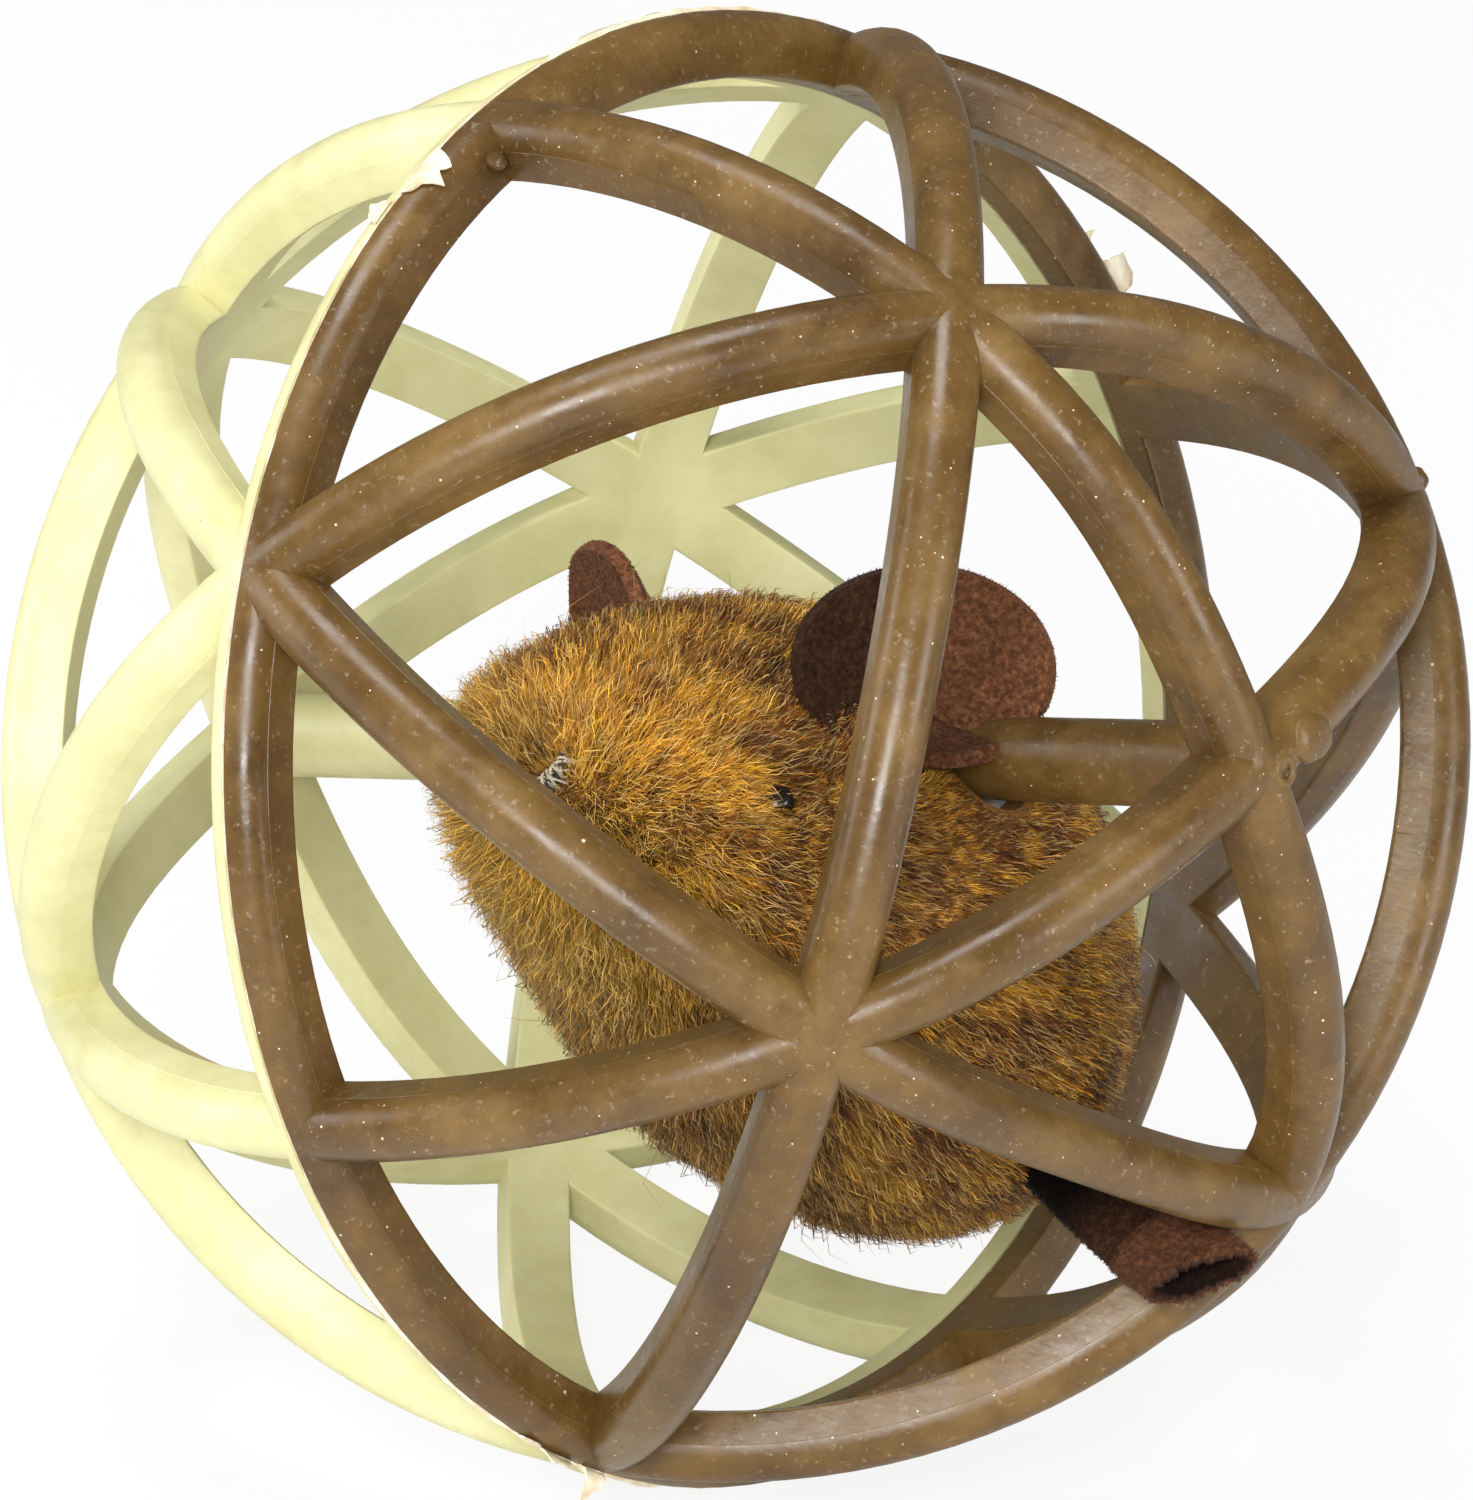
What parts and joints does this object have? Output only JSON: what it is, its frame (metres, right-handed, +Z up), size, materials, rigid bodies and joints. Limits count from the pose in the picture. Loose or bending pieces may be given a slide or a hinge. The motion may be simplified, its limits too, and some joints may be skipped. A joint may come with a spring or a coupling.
{
  "type": "cat toy ball",
  "caption": "Open lattice ball moulded in a brown and a cream half, with a plush mouse inside that spins freely on an axle through the ball's middle.",
  "frame": {"origin": "the ball's centre, on the axle", "axes": "+Z up as the ball rests on one of its small lattice triangles, +X level, towards the axle's brown end, which points 14.5 degrees above the level"},
  "size_m": [0.0966, 0.0996, 0.0968],
  "materials": {
    "brown_plastic": "satin moulded plastic with fine scratches and dust",
    "cream_plastic": "satin moulded plastic, pale yellow green",
    "glue": "set glue, half clear and glossy",
    "plush": "short golden brown pile with dark mottling and pale tips",
    "velour": "dark brown velour with a very short nap",
    "filling": "white polyester fibre",
    "catnip": "dried leaf in a thin cloth pouch",
    "eye_bead": "black, glossy",
    "thread": "black and off-white sewing thread"
  },
  "bodies": {
    "cage": {"brown_half_cage": "brown_plastic", "cream_half_cage": "cream_plastic", "seam_glue": "glue"},
    "mouse": {"left_side_panel": "plush", "right_side_panel": "plush", "belly_panel": "plush", "fibre_filling": "filling", "catnip_pouch": "catnip", "left_ear": "velour", "right_ear": "velour", "tail": "velour", "left_eye": "eye_bead", "right_eye": "eye_bead", "nose_stitches": "thread"}
  },
  "joints": [
    {"name": "mouse_spin", "type": "hinge", "parent": "cage", "child": "mouse", "pos_m": [0, 0, 0], "axis": [0.9681, 0, 0.2506], "continuous": true, "deforming": ["tail"]}
  ]
}
